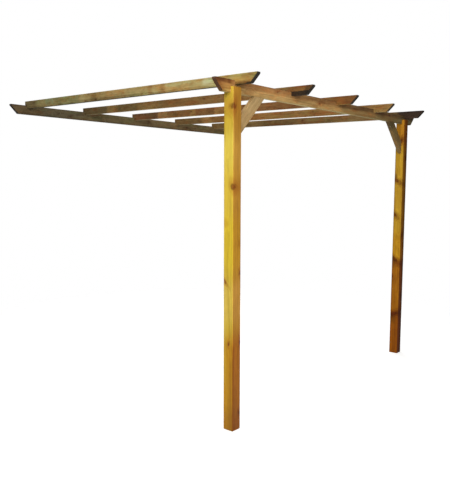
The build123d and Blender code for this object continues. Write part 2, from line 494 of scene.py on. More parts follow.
def timber_material(name, s, knots):
    g = Nodes(name)
    a = g.new("ShaderNodeAttribute", attribute_name="wood")
    P = a.outputs["Vector"]
    u, v, w = g.sep(P)
    uo = g.add(u, 3.17 * s["seed"])

    # The grain wanders a little along the timber.
    drift = g.sep(g.noise(g.comb(g.mul(uo, 0.9), g.mul(v, 5.0), g.mul(w, 5.0)), 1.5, 0.5, colour=True))
    vv = g.add(v, g.madd(drift[0], 0.016, -0.008))
    ww = g.add(w, g.madd(drift[1], 0.016, -0.008))

    broad = g.noise(g.comb(g.mul(uo, s.get("broad_u", 1.3)), g.mul(vv, 9.0), g.mul(ww, 9.0)), 3.0, 0.55)
    mottle = g.noise(g.comb(g.mul(uo, 12.0), g.mul(vv, 34.0), g.mul(ww, 34.0)), 5.0, 0.68)
    mid = g.noise(g.comb(g.mul(uo, 1.9), g.mul(vv, 62.0), g.mul(ww, 62.0)), 3.0, 0.62)
    fibre = g.noise(g.comb(g.mul(uo, 7.0), g.mul(vv, 330.0), g.mul(ww, 330.0)), 3.0, 0.6)
    fine = g.noise(g.comb(g.mul(uo, 26.0), g.mul(vv, 1050.0), g.mul(ww, 1050.0)), 2.0, 0.6)
    frayed = g.add(g.madd(fibre, 0.14, -0.07), g.madd(mid, 0.20, -0.10))

    # Knots: the nearest one, measured in its own radii, with an uneven outline and a longer stain about it.
    kd = kh = None
    rag = g.noise(g.comb(g.mul(uo, 80.0), g.mul(v, 110.0), g.mul(w, 110.0)), 2.0, 0.5)
    for k in knots:
        m = g.new("ShaderNodeMapping", vector_type="TEXTURE")
        g.put(m.inputs["Vector"], P)
        m.inputs["Location"].default_value = k.at
        m.inputs["Rotation"].default_value = k.turn
        m.inputs["Scale"].default_value = k.size
        d = g.vec("LENGTH", m.outputs[0])
        h = g.vec("LENGTH", g.vec("MULTIPLY", m.outputs[0], (0.62, 1.0, 1.0)))
        kd = d if kd is None else g.math("MINIMUM", kd, d)
        kh = h if kh is None else g.math("MINIMUM", kh, h)
    if kd is not None:
        kd = g.add(kd, g.madd(rag, 0.9, -0.45))
        kh = g.add(kh, g.add(g.madd(mottle, 3.0, -1.5), g.madd(mid, 2.4, -1.2)))
        halo = g.step(kh, 0.5, s.get("halo", 3.4), 1.0, 0.0)
        core = g.step(kd, 0.62, 1.0, 1.0, 0.0)
        rim = g.mul(g.mul(g.step(kd, 0.55, 0.9), g.step(kd, 1.0, 1.5, 1.0, 0.0)), g.step(mottle, 0.40, 0.58, 0.25, 1.0))

    # Growth rings about a pith line that may lie outside the timber.
    pv, pw, tv, tw = s["pith"]
    rv = g.add(g.add(vv, -pv), g.mul(u, -tv))
    rw = g.add(g.add(ww, -pw), g.mul(u, -tw))
    rho = g.math("SQRT", g.add(g.mul(rv, rv), g.mul(rw, rw)))
    wave = g.noise(g.comb(g.mul(uo, 2.6), g.mul(vv, 34.0), g.mul(ww, 34.0)), 2.0, 0.5)
    rho = g.add(rho, g.madd(wave, 0.0042, -0.0021))
    if kd is not None:
        rho = g.madd(halo, 0.011, rho)
    phase = g.mul(rho, 1.0 / s["ring"])
    fr = g.math("FRACT", phase)
    each = g.white(g.add(g.math("FLOOR", phase), 7.0 * s["seed"]))
    late = g.math("SUBTRACT", g.step(fr, 0.22, 0.9), g.step(fr, 0.93, 1.0))
    late = g.mul(late, g.madd(each, 0.75, 0.35))

    tone = g.madd(late, s["late"], s.get("bias", 0.30))
    tone = g.add(tone, g.madd(mid, s["streak"], -0.5 * s["streak"]))
    tone = g.add(tone, g.madd(fibre, s["fibre"], -0.5 * s["fibre"]))
    tone = g.add(tone, g.madd(fine, s["fine"], -0.5 * s["fine"]))
    tone = g.add(tone, g.madd(broad, s["blotch"], -0.5 * s["blotch"]))
    tone = g.add(tone, g.madd(mottle, s["mottle"], -0.5 * s["mottle"]))

    col = g.ramp(tone, tone_stops(s["tones"]))
    tc = g.new("ShaderNodeTexCoord")
    normal = tc.outputs["Normal"]
    # Faces turned a given way get tones of their own; on some timbers these are painted shade or painted light from
    # below.
    for n, tones in s.get("faces", ()):
        facing = g.step(g.vec("DOT_PRODUCT", normal, n), 0.5, 0.86)
        col = g.mix(facing, col, g.ramp(tone, tone_stops(tones)))

    # Patches of another hue, from treatment and damp.
    for i, (rgb, su, sc, lo, hi, amount) in enumerate(s.get("patches", ())):
        f = g.noise(g.comb(g.madd(uo, su, 11.7 * i + 3.3), g.mul(vv, sc), g.mul(ww, sc)), 2.5, 0.55)
        col = g.mix(g.step(g.add(f, frayed), lo, hi, 0.0, amount), col, rgb, "MULTIPLY")

    # Stretches that differ along or across the timber, or along a raked tip, with uneven edges; on some timbers these
    # include painted shade and a painted highlight.
    raked = g.add(u, v)
    for rgb, amount, span in s.get("zones", ()):
        f = None
        for axis, (lo, hi, soft) in span.items():
            x, grain, most = {"u": (u, mid, 0.05), "v": (v, broad, 0.012), "w": (w, broad, 0.012), "rake": (raked, mid, 0.004)}[axis]
            wob = 3.0 * min(soft, most)
            x = g.add(x, g.madd(grain, wob, -0.5 * wob))
            k = g.mul(g.step(x, lo - soft, lo + soft), g.step(x, hi - soft, hi + soft, 1.0, 0.0))
            f = k if f is None else g.mul(f, k)
        col = g.mix(g.mul(f, amount), col, rgb, "MULTIPLY")

    if kd is not None:
        col = g.mix(g.mul(halo, s.get("halo_amount", 0.75)), col, s.get("halo_rgb", (0.70, 0.52, 0.40)), "MULTIPLY")
        heart = g.step(g.math("FRACT", g.madd(kd, 2.6, g.mul(rag, 1.3))), 0.1, 0.95)
        heart = g.mul(heart, g.step(kd, 0.10, 0.62, 0.35, 1.0))
        knot_rgb = g.mix(heart, s.get("knot_light", (0.86, 0.64, 0.58)), s.get("knot_dark", (0.46, 0.32, 0.26)))
        col = g.mix(g.mul(core, 0.9), col, g.mix(1.0, col, knot_rgb, "MULTIPLY"))
        col = g.mix(g.mul(rim, s.get("rim", 0.75)), col, (0.34, 0.24, 0.20), "MULTIPLY")

    # Arrises are rubbed paler.
    ar = g.new("ShaderNodeAttribute", attribute_name="arris").outputs["Fac"]
    rub = g.mul(ar, g.step(mid, 0.40, 0.66))
    col = g.mix(g.mul(rub, s.get("rub", 0.35)), col, s.get("rub_rgb", (1.30, 1.27, 1.22)), "MULTIPLY")

    # Sawn ends: rings seen square on, dark, with fine radial shakes.
    along = s["axis"]
    end = g.step(g.math("ABSOLUTE", g.vec("DOT_PRODUCT", normal, along)), 0.42, 0.66)
    turn = g.math("ARCTAN2", rv, rw)
    shake = g.noise(g.comb(g.mul(turn, 21.0), g.mul(rho, 22.0), g.mul(uo, 3.0)), 2.0, 0.6)
    etone = g.add(g.madd(late, 0.34, 0.12), g.madd(broad, 0.7, -0.25))
    ecol = g.ramp(etone, tone_stops(s["end"]))
    if "rear" in s:
        ecol = g.mix(g.step(u, -1.6, -1.4), ecol, g.ramp(etone, tone_stops(s["rear"])))
    ecol = g.mix(g.step(shake, 0.60, 0.70, 0.0, 0.7), ecol, (0.35, 0.33, 0.32), "MULTIPLY")
    col = g.mix(end, col, ecol)

    b = g.new("ShaderNodeBsdfPrincipled")
    g.put(b.inputs["Base Color"], col)
    r0, r1 = s.get("rough", (0.56, 0.80))
    rough = g.madd(tone, 0.6 * (r1 - r0), r0)
    rough = g.add(rough, g.madd(fibre, 0.5 * (r1 - r0), 0.0))
    rough = g.madd(end, 0.12, rough)
    g.put(b.inputs["Roughness"], g.math("MINIMUM", rough, 0.95))
    b.inputs["Specular IOR Level"].default_value = s.get("spec", 0.32)

    # Raised late wood, open fibres and, on sawn timber, faint saw strokes across the grain.
    high = g.madd(late, 0.45, g.madd(fibre, 0.75, g.mul(fine, 0.35)))
    high = g.add(high, g.mul(mid, 0.5))
    if s.get("sawn"):
        stroke = g.math("SINE", g.mul(g.add(u, g.add(g.mul(v, 0.14), g.mul(broad, 0.01))), 2 * math.pi / 0.0052))
        high = g.madd(g.mul(stroke, g.step(broad, 0.35, 0.65)), 0.10, high)
    if kd is not None:
        high = g.madd(rim, -0.9, high)
        high = g.madd(core, 0.35, high)
    high = g.madd(g.mul(end, g.step(shake, 0.58, 0.72)), -1.2, high)
    bump = g.new("ShaderNodeBump")
    bump.inputs["Strength"].default_value = s.get("bump", 0.55)
    bump.inputs["Distance"].default_value = 0.0006
    g.put(bump.inputs["Height"], high)
    g.put(b.inputs["Normal"], bump.outputs[0])
    return g.finish(b.outputs[0])


def screw_material():
    g = Nodes("zinc_screw")
    tc = g.new("ShaderNodeTexCoord").outputs["Object"]
    cloud = g.noise(g.vec("MULTIPLY", tc, (900, 900, 900)), 3.0, 0.6)
    scuff = g.noise(g.vec("MULTIPLY", tc, (2600, 2600, 2600)), 2.0, 0.5)
    spots = g.noise(g.vec("MULTIPLY", tc, (420, 420, 420)), 3.0, 0.65)
    col = g.ramp(cloud, [(0.25, lin((138, 130, 108))), (0.5, lin((176, 168, 142))), (0.8, lin((150, 146, 132)))])
    rust = g.step(spots, 0.55, 0.68, 0.0, 0.85)
    col = g.mix(rust, col, lin((104, 62, 34)))
    b = g.new("ShaderNodeBsdfPrincipled")
    g.put(b.inputs["Base Color"], col)
    g.put(b.inputs["Metallic"], g.madd(rust, -0.8, 0.9))
    g.put(b.inputs["Roughness"], g.add(g.madd(scuff, 0.22, 0.26), g.mul(rust, 0.4)))
    bump = g.new("ShaderNodeBump")
    bump.inputs["Strength"].default_value = 0.35
    bump.inputs["Distance"].default_value = 0.0002
    g.put(bump.inputs["Height"], g.madd(rust, 0.6, scuff))
    g.put(b.inputs["Normal"], bump.outputs[0])
    return g.finish(b.outputs[0])


# ---------------------------------------------------------------- the timbers
X, Y, Z = (1, 0, 0), (0, 1, 0), (0, 0, 1)
GROUND = -2.4525
POST_Y = -2.6075
BEAM = (-2.625, -2.590)
SLOPE = 50.0 / 2590.0
D = 1 / math.sqrt(2)

timbers = {}

# Posts: planed square, slotted at the top for the front beam.
post_knots = {
    "post_left": [
        ("-w", 2.268, -0.031, 0.0155, 1.25, 15), ("-v", 1.730, -0.0380, 0.0150, 1.15, -20), ("-v", 1.070, 0.030, 0.009, 2.2, -40), ("-w", 1.132, 0.038, 0.008, 1.5, 0),
        ("-v", 0.630, -0.004, 0.006, 1.6, 10), ("-w", 0.634, 0.036, 0.009, 1.5, -10), ("-w", 0.120, 0.037, 0.009, 1.6, 0),
        ("+v", 1.93, 0.012, 0.012, 1.3, 10), ("+v", 1.36, -0.020, 0.010, 1.5, -25), ("+v", 0.84, 0.022, 0.013, 1.3, 15), ("+v", 0.31, 0.002, 0.009, 1.4, 0),
        ("+w", 2.05, 0.012, 0.012, 1.3, 0), ("+w", 1.50, -0.020, 0.010, 1.5, 20), ("+w", 0.95, 0.016, 0.012, 1.3, -15), ("+w", 0.41, -0.010, 0.011, 1.4, 0),
    ],
    "post_right": [
        ("-v", 2.195, -0.022, 0.008, 1.4, 10), ("-v", 1.796, 0.024, 0.012, 2.6, -58), ("-v", 1.450, 0.034, 0.012, 1.9, -46), ("-v", 0.990, 0.024, 0.015, 2.3, -52),
        ("-v", 0.800, 0.036, 0.006, 1.5, 0), ("-v", 0.414, 0.010, 0.014, 2.8, 72),
        ("-w", 2.02, 0.016, 0.010, 1.3, 0), ("-w", 1.24, -0.012, 0.011, 1.4, 15), ("-w", 0.60, 0.010, 0.010, 1.3, -10),
        ("+v", 1.88, 0.010, 0.012, 1.3, 0), ("+v", 1.12, -0.014, 0.012, 1.4, 20), ("+v", 0.52, 0.012, 0.010, 1.5, -15),
        ("+w", 2.10, -0.014, 0.010, 1.4, 0), ("+w", 1.60, 0.012, 0.013, 1.3, 10), ("+w", 0.75, -0.010, 0.012, 1.3, -20),
    ],
}
for name, x, seed in (("post_left", -1.3525, 11), ("post_right", 1.3075, 12)):
    timbers[name] = Timber(
        name, (x, POST_Y, GROUND), Z, X, Y, ((0.0, 0.0), (2.4, 0.0)), 0.0425, 0.0425, 0.0034, seed,
        cuts=[((x - 0.08, BEAM[0], -0.0925), (x + 0.08, BEAM[1], -0.02))],
        checks=[("+w", 0.006, 0.22, 1.02, 0.0021, 0.014), ("+v", -0.012, 0.95, 1.86, 0.0022, 0.015), ("+w", -0.014, 1.42, 1.98, 0.0016, 0.011), ("-w", 0.016, 0.30, 0.66, 0.0012, 0.008)],
        splits=[(1, (0.006, 0.032), 100, 0.020, 0.0014, 0.045), (1, (-0.012, -0.030), 170, 0.022, 0.0011, 0.030)],
        screws=[("+w", 2.380, 0.024), ("+w", 2.376, -0.022)],
        knots=post_knots[name],
    )

# Front beam: through the slots, each end a short plumb nose above a 45 degree cut.
timbers["front_beam"] = Timber(
    "front_beam", (0, POST_Y, -0.05), X, Z, Y, ((-1.5145, -1.0), (1.5145, 1.0)), 0.0425, 0.0175, 0.0024, 21,
    cuts=[((-1.62, -2.70, -0.06), (-1.545, -2.50, 0.04)), ((1.545, -2.70, -0.06), (1.62, -2.50, 0.04))],
    checks=[("+w", 0.010, -0.98, -0.42, 0.0014, 0.008), ("+w", -0.014, 0.12, 0.60, 0.0013, 0.008), ("-w", 0.012, 0.30, 0.58, 0.0009, 0.006)],
    splits=[(0, (-0.006, 0.002), 20, 0.026, 0.0012, 0.05), (0, (-0.014, -0.004), 200, 0.020, 0.0009, 0.03), (1, (-0.008, 0.0), 165, 0.026, 0.0012, 0.05)],
    knots=[("-w", -0.86, 0.022, 0.006, 1.6, 10), ("-w", -0.28, -0.006, 0.007, 1.8, 12), ("-w", 0.98, 0.014, 0.007, 1.5, 0), ("+w", -1.18, -0.010, 0.010, 1.3, 0), ("+w", -0.25, 0.014, 0.011, 1.4, 15), ("+w", 0.85, -0.006, 0.009, 1.5, -10)],
)

# Wall beam: screwed flat to the wall, its far end out of sight behind the near post.
timbers["wall_beam"] = Timber(
    "wall_beam", (0, -0.0175, 0.0), X, Z, Y, ((-1.4845, -1.0), (1.6195, 1.0)), 0.0425, 0.0175, 0.0024, 22,
    cuts=[((-1.59, -0.07, 0.0117), (-1.515, 0.05, 0.07)), ((1.65, -0.07, 0.0117), (1.72, 0.05, 0.07))],
    checks=[("-w", 0.020, -0.30, 0.12, 0.0009, 0.006), ("-v", 0.004, 0.35, 0.95, 0.0012, 0.008)],
    splits=[(0, (-0.008, 0.0), 25, 0.024, 0.0012, 0.05), (1, (-0.010, 0.0), 160, 0.024, 0.0012, 0.05)],
    screws=[("-w", -1.30, -0.004), ("-w", -0.98, 0.006), ("-w", -0.36, -0.003), ("-w", 0.34, 0.004), ("-w", 1.00, -0.005), ("-w", 1.50, 0.003)],
    knots=[("-w", -0.86, -0.016, 0.007, 1.5, 10), ("-w", 0.20, 0.012, 0.008, 1.5, -12), ("-w", 0.82, -0.010, 0.007, 1.7, 8)],
)

# Rafters: notched over the front beam and rebated onto the wall beam, with a blunt raked tip.
rafter_knots = {
    1: [("-w", -1.10, -0.020, 0.007, 1.8, 10), ("-w", -0.96, -0.026, 0.005, 2.0, 0), ("-w", -1.68, -0.022, 0.006, 1.6, -12), ("+w", -0.62, 0.006, 0.010, 1.3, 0), ("+w", -2.10, -0.010, 0.008, 1.5, 15)],
    2: [("-w", -1.72, 0.010, 0.005, 1.8, 8), ("-w", -2.12, -0.016, 0.006, 1.7, -10), ("+w", -1.62, -0.004, 0.010, 1.3, 0), ("+w", -0.70, 0.010, 0.007, 1.5, 0)],
    3: [("-w", -0.92, 0.012, 0.005, 1.7, 0), ("-w", -1.76, -0.018, 0.006, 1.6, 12), ("+w", -1.20, 0.008, 0.009, 1.4, 0), ("+w", -2.20, -0.012, 0.007, 1.6, 10)],
    4: [("-w", -1.16, -0.016, 0.006, 1.7, 10), ("-w", -1.96, 0.014, 0.005, 1.6, 0), ("+w", -0.60, 0.012, 0.009, 1.4, -15), ("+w", -1.80, -0.010, 0.008, 1.3, 0)],
    5: [("-w", -1.40, 0.008, 0.006, 1.6, 0), ("+w", -1.40, -0.012, 0.010, 1.3, 0), ("+w", -2.25, 0.006, 0.008, 1.5, 10)],
}
RAFTER_X = (-1.334, -0.667, 0.0, 0.667, 1.334)
RAFTER_Z = -0.0025 + SLOPE * 2.625
TIP_S = -1.0
TIP_U = -2.792
for i, x in enumerate(RAFTER_X, 1):
    rr = np.random.default_rng(300 + i)
    c0 = rr.uniform(-2.3, -1.4)
    timbers[f"rafter_{i}"] = Timber(
        f"rafter_{i}", (x, 0.0, RAFTER_Z), (0, 1, SLOPE), Z, X, ((TIP_U, TIP_S), (0.0, 0.0)), 0.035, 0.0175, 0.0024, 30 + i,
        cuts=[((x - 0.05, BEAM[0], -0.12), (x + 0.05, BEAM[1], -0.0075)), ((x - 0.05, -0.035, -0.12), (x + 0.05, 0.02, 0.0425)), ((x - 0.05, -2.88, -0.05), (x + 0.05, -2.815, 0.10))],
        checks=[("+w", rr.uniform(-0.012, 0.014), c0, c0 + rr.uniform(0.35, 0.6), 0.0014, 0.008), ("+v", rr.uniform(-0.004, 0.004), -1.25, -1.25 + rr.uniform(0.4, 0.7), 0.0013, 0.009)],
        splits=[(0, (-0.004, 0.001), rr.uniform(-30, 30), 0.018, 0.0011, 0.04), (0, (-0.010, -0.002), 180 + rr.uniform(-25, 25), 0.016, 0.0009, 0.03)],
        screws=[("+v", -2.6075, rr.uniform(-0.003, 0.003)), ("+v", -0.019, rr.uniform(-0.003, 0.003))],
        knots=rafter_knots[i],
    )

# Braces between posts and front beam, mitred at both ends.
REACH = (0.3274 - 0.0925) / D
for name, x, sx, seed in (("brace_left", -1.310, 1, 41), ("brace_right", 1.265, -1, 42)):
    timbers[name] = Timber(
        name, (x, POST_Y, -0.3274), (sx * D, 0, D), (-sx * D, 0, D), Y, ((0.0, 1.0), (REACH, -1.0)), 0.0425, 0.0175, 0.0024, seed,
        checks=[("+w", 0.006, 0.09, 0.25, 0.0011, 0.006)],
        screws=[("-v", 0.020, 0.008), ("-v", 0.026, -0.008), ("-v", REACH - 0.020, 0.007), ("-v", REACH - 0.026, -0.009)],
        knots=[("+w", 0.12, 0.012, 0.010, 1.4, 10)],
    )

# ---------------------------------------------------------------- their finishes
def tones(mean, pale=1.0, deep=1.0):
    """Four tones of a timber from its mean colour: early wood, body, late wood and the deepest streaks."""
    m = np.array(lin(mean))
    steps = [1 + 0.42 * pale, 1.10, 0.82, 0.42 / deep]
    hues = [(0.98, 1.02, 1.10), (1, 1, 1), (1.02, 0.96, 0.90), (1.06, 0.90, 0.78)]
    return [tuple(np.clip(m * k * np.array(h), 0, 1)) for k, h in zip(steps, hues)]


def zone(rgb, amount=1.0, **span):
    """A stretch of the timber tinted by rgb. Each of u, v, w and rake is (low, high, soft edge)."""
    return rgb, amount, span


END_DARK = tones((50, 44, 37))
END_RUST = tones((86, 56, 33))
END_BROWN = tones((112, 78, 50))
GREENISH = (0.88, 1.08, 0.98)
RUSTY = (1.08, 0.86, 0.72)
TANNED = (1.10, 1.06, 1.02)
DOWN, UP, FRONT, FAR = (0, 0, -1), (0, 0, 1), (0, -1, 0), (1, 0, 0)

LOOKS = {
    "post_left": dict(
        seed=1.3, axis=Z, pith=(0.062, 0.020, 0.006, -0.004), ring=0.0068, late=0.26, streak=0.75, fibre=0.30, fine=0.16, blotch=0.60, mottle=0.45,
        tones=tones((207, 176, 56), 0.6), faces=[(FRONT, tones((194, 139, 45), 0.7)), (FAR, tones((202, 150, 54), 0.7))], end=END_BROWN,
        zones=[
            zone((0.80, 0.54, 0.11), 0.95, u=(-1.0, 0.70, 0.10)),
            # Painted highlight: a pale bluish sheen along the rear edge of the left face, from 0.34 to 1.04 m up (this
            # zone and the next).
            zone((1.06, 1.28, 2.80), 0.85, u=(0.34, 0.72, 0.08), w=(0.016, 1.0, 0.014), v=(-1.0, -0.036, 0.004)),
            zone((0.94, 0.94, 1.20), 0.8, u=(0.74, 1.04, 0.06), w=(0.010, 1.0, 0.014), v=(-1.0, -0.036, 0.004)),
            zone((1.12, 1.16, 1.80), 0.8, u=(0.80, 1.06, 0.05)),
            zone((1.06, 1.10, 0.66), 0.9, u=(1.14, 1.52, 0.08)),
            zone((1.08, 1.20, 1.80), 0.7, u=(1.84, 2.10, 0.09)),
            zone((0.84, 0.82, 0.78), 0.9, u=(2.06, 3.0, 0.08)),
            zone((0.82, 0.74, 0.80), 0.9, u=(-1.0, 0.14, 0.08)),
            zone((0.84, 0.80, 0.50), 0.95, u=(-1.0, 0.52, 0.05), w=(-1.0, -0.002, 0.016), v=(-1.0, -0.030, 0.006)),
            zone((0.80, 0.70, 0.60), 0.85, u=(-1.0, 0.62, 0.03), v=(-1.0, -0.020, 0.010), w=(-1.0, -0.036, 0.004)),
        ],
        rough=(0.44, 0.70), spec=0.30, bump=0.40, halo_rgb=(0.70, 0.46, 0.36), halo_amount=0.7, knot_light=(0.62, 0.38, 0.30), knot_dark=(0.31, 0.17, 0.12),
    ),
    "post_right": dict(
        seed=2.6, axis=Z, pith=(0.058, -0.030, -0.005, 0.005), ring=0.0064, late=0.26, streak=0.75, fibre=0.30, fine=0.16, blotch=0.65, mottle=0.60,
        # Painted shade: the front face has its own darker tones, and its right half is darker still in a zone below.
        tones=tones((198, 154, 42), 0.7), faces=[(FRONT, tones((152, 98, 10), 0.8))], end=END_BROWN,
        zones=[
            zone((1.00, 0.86, 0.45), 0.9, u=(-1.0, 1.26, 0.08)),
            zone((0.66, 0.45, 0.27), 0.95, u=(-1.0, 0.98, 0.04)),
            zone((0.84, 0.66, 0.40), 0.95, u=(-1.0, 0.42, 0.06)),
            # Painted shade: the right half of the front face darker.
            zone((0.48, 0.45, 0.32), 0.9, v=(-0.004, 1.0, 0.026), w=(-1.0, -0.0385, 0.003)),
            zone((0.62, 0.58, 0.54), 0.8, w=(0.034, 1.0, 0.006), v=(-1.0, -0.036, 0.004)),
            zone((1.22, 1.26, 1.30), 0.9, u=(1.796, 1.836, 0.014), w=(-0.018, 0.014, 0.008), v=(-1.0, -0.036, 0.004)),
            zone((1.16, 1.22, 1.26), 0.9, u=(1.462, 1.502, 0.014), w=(-0.014, 0.018, 0.008), v=(-1.0, -0.036, 0.004)),
            zone((1.28, 1.34, 1.40), 0.9, u=(1.004, 1.036, 0.012), w=(-0.014, 0.012, 0.008), v=(-1.0, -0.036, 0.004)),
            zone((0.97, 0.72, 0.58), 0.9, u=(2.13, 3.0, 0.05)),
            zone((0.56, 0.50, 0.58), 0.9, u=(1.82, 1.86, 0.014), w=(0.016, 1.0, 0.010), v=(-1.0, -0.036, 0.004)),
            zone((0.68, 0.64, 0.76), 0.9, u=(0.90, 1.015, 0.022), w=(0.006, 1.0, 0.012), v=(-1.0, -0.036, 0.004)),
            zone((0.66, 0.72, 0.70), 0.9, u=(0.31, 0.40, 0.03), w=(-0.010, 1.0, 0.014), v=(-1.0, -0.036, 0.004)),
        ],
        rough=(0.50, 0.76), spec=0.14, bump=0.40, halo=4.2, halo_rgb=(0.46, 0.31, 0.25), halo_amount=0.85,
    ),
    "front_beam": dict(
        seed=3.4, axis=X, pith=(0.020, 0.085, 0.002, 0.004), ring=0.0044, late=0.24, streak=0.50, fibre=0.40, fine=0.30, blotch=0.60, mottle=0.95,
        # The underside's paler tones are painted light from below.
        tones=tones((172, 128, 77)), faces=[(DOWN, tones((191, 161, 107)))], end=END_RUST, sawn=True,
        zones=[
            zone((1.42, 1.68, 1.74), 1.0, v=(-1.0, 0.003, 0.018)),
            zone((0.80, 0.80, 0.80), 0.9, v=(-1.0, -0.036, 0.005)),
            zone((0.76, 0.73, 0.70), 1.0, u=(-0.42, 2.0, 0.10), v=(0.006, 1.0, 0.014)),
            zone((0.84, 0.86, 0.84), 1.0, u=(0.02, 2.0, 0.12)),
            zone((0.76, 0.82, 0.88), 1.0, u=(0.28, 2.0, 0.16)),
            zone((0.95, 0.82, 0.74), 0.9, u=(0.28, 0.62, 0.05), v=(-1.0, 0.0, 0.010)),
            zone((0.76, 0.86, 0.94), 1.0, u=(1.00, 2.0, 0.08)),
            zone((0.95, 0.82, 0.62), 1.0, u=(-2.0, -1.37, 0.03)),
            zone((0.42, 0.32, 0.26), 0.95, u=(-2.0, -1.43, 0.04), v=(0.014, 1.0, 0.012)),
            zone((0.66, 0.56, 0.50), 0.9, u=(-2.0, -1.485, 0.03)),
            zone((0.48, 0.40, 0.34), 0.9, u=(-1.424, -1.386, 0.014), v=(0.016, 1.0, 0.009)),
            zone((0.66, 0.62, 0.54), 0.95, u=(-2.0, -1.385, 0.02), v=(-1.0, -0.004, 0.010)),
            zone((1.36, 1.72, 1.90), 0.9, u=(-1.46, -1.37, 0.02), v=(-1.0, -0.027, 0.007)),
            zone((0.40, 0.38, 0.37), 0.85, v=(0.0375, 1.0, 0.0035)),
            zone((0.72, 0.74, 0.76), 0.9, u=(1.22, 2.0, 0.08)),
        ],
        patches=[((0.84, 0.72, 0.64), 4.2, 22.0, 0.50, 0.64, 0.9), (TANNED, 6.0, 26.0, 0.52, 0.66, 0.9), (RUSTY, 8.0, 30.0, 0.52, 0.66, 0.8)],
        halo_amount=0.5,
    ),
    "wall_beam": dict(
        seed=4.7, axis=X, pith=(-0.030, 0.075, 0.003, 0.002), ring=0.0044, late=0.24, streak=0.50, fibre=0.40, fine=0.30, blotch=0.55, mottle=0.95,
        tones=tones((111, 95, 64)), end=END_DARK, sawn=True,
        zones=[
            zone((1.30, 1.24, 1.22), 1.0, u=(0.15, 3.0, 0.40)),
            zone((0.74, 0.82, 0.96), 0.9, u=(-1.18, -0.70, 0.08)),
            zone((0.72, 0.66, 0.64), 1.0, u=(-2.0, -1.30, 0.06)),
            zone((0.70, 0.70, 0.68), 0.85, v=(-1.0, -0.030, 0.008)),
            zone((0.66, 0.66, 0.66), 0.8, v=(0.034, 1.0, 0.006)),
        ],
        patches=[(GREENISH, 4.6, 18.0, 0.47, 0.62, 0.9), (RUSTY, 9.0, 26.0, 0.52, 0.64, 0.9), ((0.72, 0.68, 0.66), 13.0, 34.0, 0.53, 0.66, 0.8)],
        halo_amount=0.5,
    ),
    "brace_left": dict(
        seed=5.2, axis=(D, 0, D), pith=(0.060, 0.040, 0.01, 0.01), ring=0.0044, late=0.24, streak=0.50, fibre=0.40, fine=0.30, blotch=0.50, mottle=0.60,
        tones=tones((188, 157, 106)), end=END_BROWN, sawn=True, patches=[((0.92, 0.88, 0.84), 6.0, 24.0, 0.50, 0.66, 0.9), (TANNED, 8.0, 30.0, 0.52, 0.66, 0.8)],
        halo_amount=0.4,
    ),
    "brace_right": dict(
        seed=6.1, axis=(-D, 0, D), pith=(0.050, -0.050, 0.01, 0.01), ring=0.0044, late=0.24, streak=0.50, fibre=0.40, fine=0.30, blotch=0.50, mottle=0.80,
        tones=tones((141, 115, 70)), end=END_BROWN, sawn=True, patches=[(GREENISH, 6.0, 24.0, 0.48, 0.64, 0.8), (RUSTY, 6.0, 24.0, 0.52, 0.66, 0.7)],
        faces=[((-D, 0, -D), tones((129, 100, 55)))],
        zones=[zone((0.50, 0.54, 0.60), 0.9, u=(0.26, 1.0, 0.03))], halo_amount=0.4,
    ),
}
